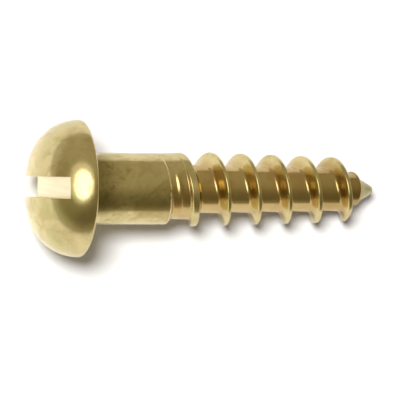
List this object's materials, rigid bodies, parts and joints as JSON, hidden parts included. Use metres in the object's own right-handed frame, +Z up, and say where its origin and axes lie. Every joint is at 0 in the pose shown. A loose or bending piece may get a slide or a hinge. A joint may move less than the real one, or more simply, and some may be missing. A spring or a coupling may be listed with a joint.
{
  "type": "round head wood screw",
  "caption": "Slotted round head wood screw in solid brass: domed head, plain shank and a coarse right-hand wood thread with a blunt cone point.",
  "frame": {"origin": "on the table that the screw rests on, under the middle of its bounding box", "axes": "+Z up from the table, +X along the table from the head to the point; the screw's own axis dips towards the point by about 7.5 degrees, because it rests on the rim of its head and on a crest of the thread"},
  "size_m": [0.028, 0.0104, 0.0104],
  "materials": {
    "brass": "polished, slightly tarnished"
  },
  "bodies": {
    "root": {"wood_screw": "brass"}
  },
  "joints": []
}
